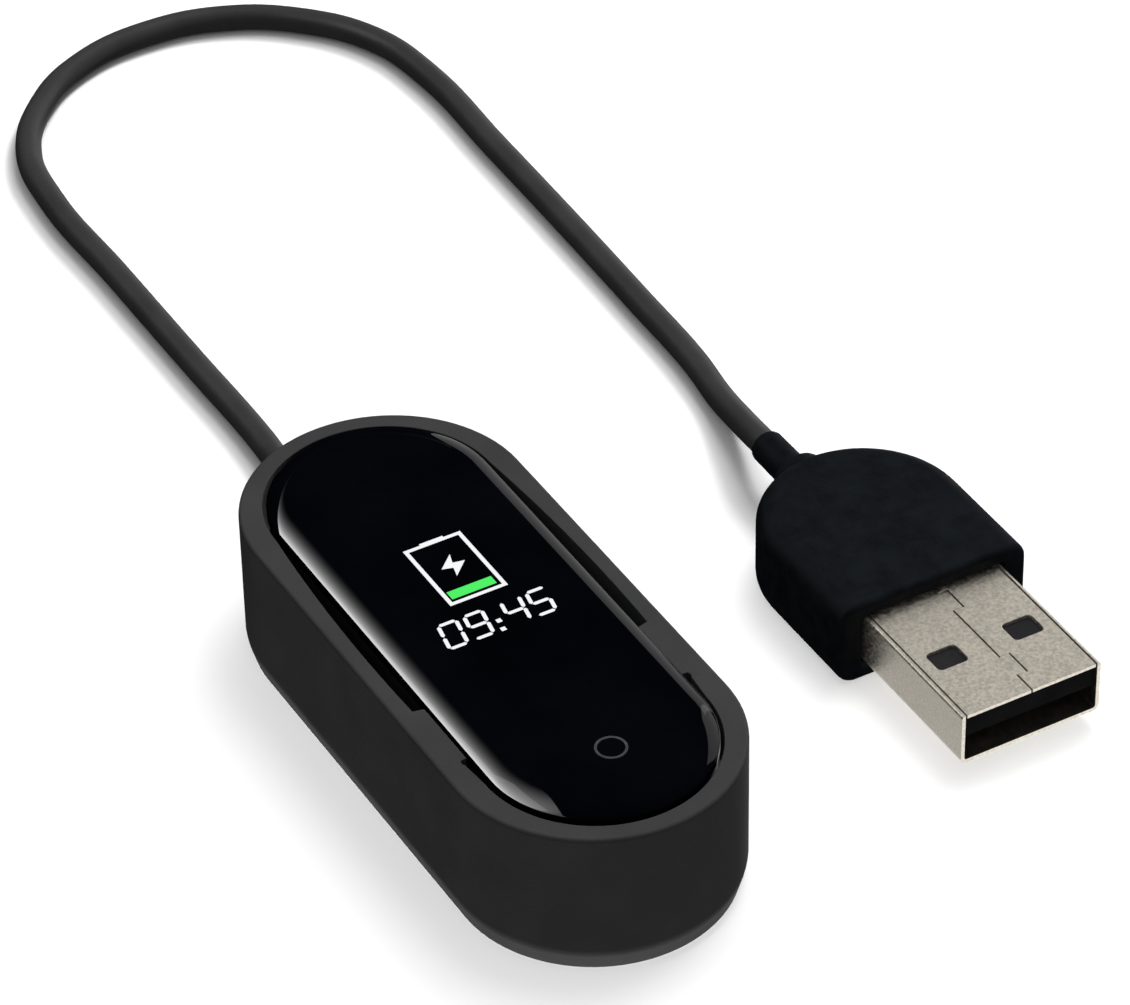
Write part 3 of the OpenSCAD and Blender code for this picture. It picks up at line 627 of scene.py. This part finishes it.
def bar(bm, start, end, width):
    """A stroke with pointed ends, as a display bar has."""
    start, end = Vector(start), Vector(end)
    along = (end - start).normalized()
    across = Vector((-along.y, along.x)) * width / 2
    tip = along * width / 2
    filled(bm, [start, start + tip - across, end - tip - across, end, end - tip + across, start + tip + across])


def frame_of(bm, x, y, width, length, line):
    """A rectangular line: an outer rectangle, inset by the line's width, without its middle."""
    filled(bm, [(x - width / 2, y - length / 2), (x + width / 2, y - length / 2), (x + width / 2, y + length / 2),
                (x - width / 2, y + length / 2)])
    bm.normal_update()
    middle = bm.faces[:][-1]
    bmesh.ops.inset_individual(bm, faces=[middle], thickness=line, use_even_offset=True)
    bmesh.ops.delete(bm, geom=[middle], context="FACES_ONLY")


bm = bmesh.new()
icon_x, icon_y, icon_w, icon_l, icon_line = 0.23, 5.1, 4.74, 7.17, 0.32
frame_of(bm, icon_x, icon_y, icon_w, icon_l, icon_line)
cap_y, cap_l, cap_left, cap_right = icon_y + icon_l / 2, 0.16, icon_x - 0.95, icon_x + 0.99
filled(bm, [(cap_left, cap_y), (cap_right, cap_y), (cap_right, cap_y + cap_l), (cap_left, cap_y + cap_l)])
bolt = [(0.67, 6.72), (-0.69, 5.48), (0.15, 5.22), (-0.08, 4.28), (1.28, 5.56), (0.36, 5.75)]
filled(bm, bolt)
piece("battery_icon", flat_piece(bm), lit_white, "tracker")

bm = bmesh.new()
level_left, level_right, level_low, level_high = -1.66, 2.0, 2.11, 3.01
filled(bm, [(level_left, level_low), (level_right, level_low), (level_right, level_high), (level_left, level_high)])
piece("battery_level_bar", flat_piece(bm), lit_green, "tracker")

digit_w, digit_h, digit_line, digit_gap, digit_y, dot = 1.45, 2.62, 0.3, 0.1, -1.33, 0.2
slant = math.tan(math.radians(10))
bars = {
    "top": ((-1, 1), (1, 1)), "middle": ((-1, 0), (1, 0)), "bottom": ((-1, -1), (1, -1)),
    "upper_left": ((-1, 0), (-1, 1)), "upper_right": ((1, 0), (1, 1)),
    "lower_left": ((-1, -1), (-1, 0)), "lower_right": ((1, -1), (1, 0)),
}
shown = {
    "0": ("top", "bottom", "upper_left", "upper_right", "lower_left", "lower_right"),
    "9": ("top", "middle", "bottom", "upper_left", "upper_right", "lower_right"),
    "4": ("middle", "upper_left", "upper_right", "lower_right"),
    "5": ("top", "middle", "bottom", "upper_left", "lower_right"),
}
clock_reading = (("0", -3.53), ("9", -1.42), ("4", 1.61), ("5", 3.7))
colon_dots = ((0.05, -1.67), (-0.13, -2.63))
bm = bmesh.new()
for digit, x in clock_reading:
    for name in shown[digit]:
        ends = [
            Vector((x + i * digit_w / 2 + j * digit_h / 2 * slant, digit_y + j * digit_h / 2)) for i, j in bars[name]
        ]
        gap = (ends[1] - ends[0]).normalized() * digit_gap / 2
        bar(bm, ends[0] + gap, ends[1] - gap, digit_line)
for x, level in colon_dots:
    filled(bm, [(x - dot, level - dot), (x + dot, level - dot), (x + dot, level + dot), (x - dot, level + dot)])
piece("clock_digits", flat_piece(bm), lit_white, "tracker")

# ---------- USB tongue and contacts ----------
# The tongue is a bar of black glass-filled nylon, pushed into the shell from behind. Four stamped, gold-plated
# contacts lie in its underside.
tongue_black, *_ = moulded(
    "tongue_nylon", (0.016, 0.0155, 0.017), 0.55, grain=0.2, height=0.02, mottle=0.15, patch=2, specular=0.1,
)
give_finish("usb_tongue", tongue_black)
give_finish("usb_contacts", gold_plate)

# ---------- USB shell ----------
# The shell is folded from 0.3 mm nickel-plated steel sheet. The fold's two edges meet along the top in a dovetailed
# seam, and a latch window is punched through on each side of it.
shell_low, shell_high = (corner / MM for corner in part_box("usb_shell"))
plug_x = (shell_low.x + shell_high.x) / 2
shell_w = shell_high.x - shell_low.x
sheet, window_w, window_l, window_pitch, window_back, window_corner = 0.3, 2.6, 2.1, 6.6, 6.2, 0.4
top_fold_r, under_fold_r, seam_gap, panel_edge = 0.26, 0.5, 0.14, 0.05
panel_half = shell_w / 2 - sheet
bm = bmesh.new()
section = [
    (-panel_half, shell_high.z), (-shell_w / 2, shell_high.z), (-shell_w / 2, shell_low.z),
    (shell_w / 2, shell_low.z), (shell_w / 2, shell_high.z), (panel_half, shell_high.z),
]
chain = [bm.verts.new((plug_x + x, shell_low.y, z)) for x, z in section]
edges = [bm.edges.new(pair) for pair in zip(chain, chain[1:])]
drawn = bmesh.ops.extrude_edge_only(bm, edges=edges)["geom"]
bmesh.ops.translate(bm, verts=only_verts(drawn), vec=(0, shell_high.y - shell_low.y, 0))


def lengthways(bm, level):
    """The edges that run from the mouth back at one height."""
    return [
        e for e in bm.edges
        if abs(e.verts[0].co.y - e.verts[1].co.y) > 1 and not e.is_boundary
        and all(abs(v.co.z - level) < 0.01 for v in e.verts)
    ]


round_over(bm, lengthways(bm, shell_high.z), top_fold_r, 6)
round_over(bm, lengthways(bm, shell_low.z), under_fold_r, 6)
bmesh.ops.recalc_face_normals(bm, faces=bm.faces)
under = min(bm.faces, key=lambda face: face.calc_center_median().z)
if under.normal.z > 0:
    bmesh.ops.reverse_faces(bm, faces=bm.faces)
bmesh.ops.solidify(bm, geom=bm.faces[:], thickness=sheet)
bmesh.ops.recalc_face_normals(bm, faces=bm.faces)


def seam(side_gap):
    """The seam from the mouth back: two dovetails reach over to the right."""
    jogs = [
        (0, 0), (1.95, 0), (1.88, 0.85), (4.3, 0.85), (4.22, 0), (10.45, 0), (10.38, 0.9), (12.72, 0.9), (12.65, 0),
    ]
    back = shell_high.y - shell_low.y
    return [(plug_x + x + side_gap, shell_low.y + y) for y, x in jogs] + [(plug_x + side_gap, shell_low.y + back)]


steel_parts = [bm]
for side in (-1, 1):
    panel = bmesh.new()
    edge_x = plug_x + side * (panel_half - seam_gap)
    outline = [(edge_x, shell_high.y), (edge_x, shell_low.y)] + seam(side * seam_gap / 2)
    ring = [panel.verts.new((x, y, shell_high.z - sheet)) for x, y in outline]
    for pair in zip(ring, ring[1:] + ring[:1]):
        panel.edges.new(pair)
    hole_x = plug_x + side * window_pitch / 2
    hole = bmesh.ops.create_grid(
        panel, x_segments=1, y_segments=1, size=0.5,
        matrix=Matrix.Translation((hole_x, shell_low.y + window_back, shell_high.z - sheet))
        @ Matrix.Diagonal((window_w, window_l, 1, 1)),
    )["verts"]
    bmesh.ops.bevel(
        panel, geom=hole, offset=window_corner, offset_type="OFFSET", segments=5, profile=0.5, affect="VERTICES",
        material=-1,
    )
    for face in panel.faces[:]:
        bmesh.ops.delete(panel, geom=[face], context="FACES_ONLY")
    bmesh.ops.triangle_fill(panel, use_beauty=True, edges=panel.edges[:], normal=(0, 0, 1))
    raised = bmesh.ops.extrude_face_region(panel, geom=panel.faces[:])["geom"]
    bmesh.ops.translate(panel, verts=only_verts(raised), vec=(0, 0, sheet))
    bmesh.ops.recalc_face_normals(panel, faces=panel.faces)
    arris = [
        e for e in panel.edges
        if all(v.co.z > shell_high.z - 0.01 for v in e.verts) and e.calc_face_angle(0) > 1
    ]
    round_over(panel, arris, panel_edge, 2)
    steel_parts.append(panel)

nickel, *_ = moulded(
    "nickel_plate", (0.71, 0.66, 0.57), 0.42, grain=0.16, height=0.025, mottle=0.19, spread=0.1, patch=0.26,
    metallic=1.0,
)
joined = bmesh.new()
for part in steel_parts:
    part_mesh = bpy.data.meshes.new("steel_part")
    part.to_mesh(part_mesh)
    part.free()
    joined.from_mesh(part_mesh)
    bpy.data.meshes.remove(part_mesh)
# the shell's inner faces get a much darker steel colour than its outside: painted shade inside the mouth and under
# the latch windows
shaded_steel_inside, *_ = moulded(
    "steel_inside_painted_shade", (0.1, 0.09, 0.08), 0.6, grain=0.3, height=0.02, mottle=0.15, patch=0.8, metallic=1.0,
)
inner_w, inner_t = shell_w / 2 - sheet + 0.02, (shell_high.z - shell_low.z) / 2 - sheet + 0.02
middle_z = (shell_high.z + shell_low.z) / 2
# faces inside the shell take the darker steel, which is painted shade
for face in joined.faces:
    centre = face.calc_center_median()
    inside = abs(centre.x - plug_x) < inner_w and abs(centre.z - middle_z) < inner_t
    face.material_index = 1 if inside else 0
shell = piece("plug_shell", joined, nickel, "cradle", ["usb_shell"], sharp=20)
shell.data.materials.append(shaded_steel_inside)

# the bright metal has large soft cards of its own all round, so that it stays pale beside the dark glass
metal_card_distance, metal_card_size = 0.8, (1.3, 1.1)
bright_metal = bpy.data.collections.new("bright_metal")
for shiny in (shell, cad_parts["usb_contacts"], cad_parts["charging_pads"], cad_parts["pogo_barrels"]):
    bright_metal.objects.link(shiny)
for name, towards, radiance in (
    ("far", (0.38, 0.68, 0.62), 0.55), ("near", (-0.3, -0.7, 0.6), 0.5), ("left", (-0.8, 0.25, 0.5), 0.55),
    ("right", (0.85, -0.2, 0.45), 0.5), ("under", (-0.2, 0.1, -0.8), 0.95), ("front", (0.38, -0.75, -0.45), 1.2),
):
    card = softbox("metal_card_" + name, towards, metal_card_distance, metal_card_size, radiance, True, False)
    card.light_linking.receiver_collection = bright_metal

# ---------- Plug core ----------
# A cream polyethylene block sits behind the steel shell. It is moulded round the soldered joints first, and holds
# them while the black grip is moulded over it.
core_cream, *_ = moulded("core_cream", (0.72, 0.7, 0.62), 0.5, grain=0.4, height=0.02, mottle=0.05, patch=3)
give_finish("plug_core", core_cream)

# ---------- Plug grip ----------
# The grip is moulded in black PVC over the core: flat faces, a round back, and a shallow step round the steel shell.
# Its skin is matt and slightly uneven.
grip_low, grip_high = (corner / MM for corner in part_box("plug_grip"))
grip_r = (grip_high.x - grip_low.x) / 2
grip_round_y = grip_high.y - grip_r
grip_middle_z = grip_high.z / 2
grip_edge_r, grip_mouth_edge_r, grip_cut_off, grip_lip, grip_step = 1.5, 0.5, 4, 0.7, 0.6
mouth_half_w, mouth_half_t = 6.3, 2.5
bm = bmesh.new()
start = bm.verts.new((plug_x + grip_r, grip_round_y, grip_low.z))
arc = bmesh.ops.spin(
    bm, geom=[start], cent=(plug_x, grip_round_y, 0), axis=(0, 0, 1), angle=math.pi, steps=48, use_merge=False,
)["geom_last"][0]
front = [bm.verts.new((plug_x + side * grip_r, grip_low.y - grip_cut_off, grip_low.z)) for side in (-1, 1)]
bm.edges.new((arc, front[0]))
bm.edges.new(front)
bm.edges.new((front[1], start))
face = bmesh.ops.contextual_create(bm, geom=bm.edges[:])["faces"]
grown = bmesh.ops.extrude_face_region(bm, geom=face)["geom"]
bmesh.ops.translate(bm, verts=only_verts(grown), vec=(0, 0, grip_high.z - grip_low.z))
round_over(bm, [e for e in bm.edges if abs(e.verts[0].co.z - e.verts[1].co.z) < 0.001], grip_edge_r, 8)
cut = bmesh.ops.bisect_plane(
    bm, geom=everything(bm), dist=0.0001, plane_co=(0, grip_low.y, 0), plane_no=(0, 1, 0), clear_inner=True,
)
rim = [e for e in cut["geom_cut"] if isinstance(e, bmesh.types.BMEdge)]
front_face = bmesh.ops.contextual_create(bm, geom=rim)["faces"]
bmesh.ops.recalc_face_normals(bm, faces=bm.faces)
round_over(bm, front_face[0].edges[:], grip_mouth_edge_r, 4)
front_face = min(bm.faces, key=lambda face: face.calc_center_median().y)
bmesh.ops.inset_individual(bm, faces=[front_face], thickness=grip_lip, use_even_offset=True)
inset_in = grip_mouth_edge_r + grip_lip
narrow_x, narrow_z = mouth_half_w / (grip_r - inset_in), mouth_half_t / (grip_middle_z - inset_in)
for vert in front_face.verts:
    vert.co.x = plug_x + (vert.co.x - plug_x) * narrow_x
    vert.co.z = grip_middle_z + (vert.co.z - grip_middle_z) * narrow_z
step_in = bmesh.ops.extrude_face_region(bm, geom=[front_face])["geom"]
bmesh.ops.translate(bm, verts=only_verts(step_in), vec=(0, grip_step, 0))
bmesh.ops.delete(bm, geom=[front_face], context="FACES_ONLY")
bmesh.ops.recalc_face_normals(bm, faces=bm.faces)
grip_black, *_ = moulded(
    "grip_vinyl", (0.0042, 0.0055, 0.0072), 0.62, grain=0.8, height=0.06, mottle=0.25, spread=0.1, patch=1.6,
    specular=0.16,
)
piece("plug_grip_body", bm, grip_black, "cradle", ["plug_grip"])

# ---------- Strain relief ----------
# A rounded collar and a short sleeve round the cord keep it from kinking where it leaves the grip. Both are formed
# in the same shot of black PVC as the grip.
relief_low, relief_high = (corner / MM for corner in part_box("plug_strain_relief"))
cord_z = (relief_low.z + relief_high.z) / 2
collar_r, sleeve_r, sleeve_bore_r = (relief_high.x - relief_low.x) / 2, 1.4, 1.05
sleeve_start = relief_high.y - 4.2
outline = [
    (sleeve_bore_r, relief_low.y), (collar_r - 0.2, relief_low.y), (collar_r, relief_low.y + 0.5),
    (collar_r, sleeve_start - 0.75), (collar_r - 0.14, sleeve_start - 0.4), (collar_r - 0.4, sleeve_start - 0.12),
    (sleeve_r + 0.22, sleeve_start), (sleeve_r + 0.06, sleeve_start + 0.12), (sleeve_r, sleeve_start + 0.4),
    (sleeve_r - 0.03, relief_high.y - 0.3), (sleeve_r - 0.1, relief_high.y - 0.08), (sleeve_bore_r, relief_high.y),
]
bm = bmesh.new()
chain = [bm.verts.new((plug_x, y, cord_z + radius)) for radius, y in outline]
edges = [bm.edges.new(pair) for pair in zip(chain, chain[1:] + chain[:1])]
bmesh.ops.spin(
    bm, geom=chain + edges, cent=(plug_x, 0, cord_z), axis=(0, 1, 0), angle=2 * math.pi, steps=48, use_merge=True,
)
bmesh.ops.remove_doubles(bm, verts=bm.verts, dist=0.0005)
bmesh.ops.recalc_face_normals(bm, faces=bm.faces)
piece("strain_relief", bm, grip_black, "cradle", ["plug_strain_relief"])

# ---------- Charging cord ----------
# A thin two-wire lead with a smooth black PVC jacket, satin rather than glossy. It leaves the cradle's far end
# through a plain round hole, lies on the table in one long loop, and comes back to the plug's sleeve.
jacket_black, *_ = moulded(
    "cord_jacket_vinyl", (0.034, 0.034, 0.035), 0.42, grain=0.5, height=0.02, mottle=0.08, patch=4, specular=0.5,
)
cord_d = 2.2
route = [
    (0, 24, 4.2), (0, 26, 4.2), (0.2, 29.5, 3.7), (0.9, 33, 2.5), (1.5, 36.5, 1.4), (1.8, 40, 1.18),
    (1.8, 52, 1.1), (1.8, 65, 1.1), (1.8, 77.6, 1.1), (3.1, 84.4, 1.1), (7, 90.1, 1.1), (12.7, 94, 1.1),
    (19.5, 95.3, 1.1), (26.3, 94, 1.1), (32, 90.1, 1.1), (35.9, 84.4, 1.1), (37.2, 77.6, 1.1), (37, 65, 1.1),
    (36.7, 52, 1.1), (36.3, 40, 1.1), (35.9, 31, 1.18), (35.2, 26, 1.3), (34.3, 21, 2.4), (33.53, 16.3, 3.56),
    (33.5, 12.5, 3.6), (33.5, 1, 3.6),
]
curve = bpy.data.curves.new("charging_cord", "CURVE")
curve.dimensions = "3D"
curve.resolution_u = 8
curve.bevel_depth = cord_d / 2 * MM
curve.bevel_resolution = 8
spline = curve.splines.new("BEZIER")
spline.bezier_points.add(len(route) - 1)
for point, place in zip(spline.bezier_points, route):
    point.co = Vector(place) * MM
    point.handle_left_type = point.handle_right_type = "AUTO"
cord = link(bpy.data.objects.new("charging_cord", curve))
cord.data.materials.append(jacket_black)
shades = bpy.data.collections.new("casts_the_long_shadow")
shades.objects.link(cord)
low_key.light_linking.blocker_collection = shades
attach(cord, "cradle")
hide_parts("usb_cable")
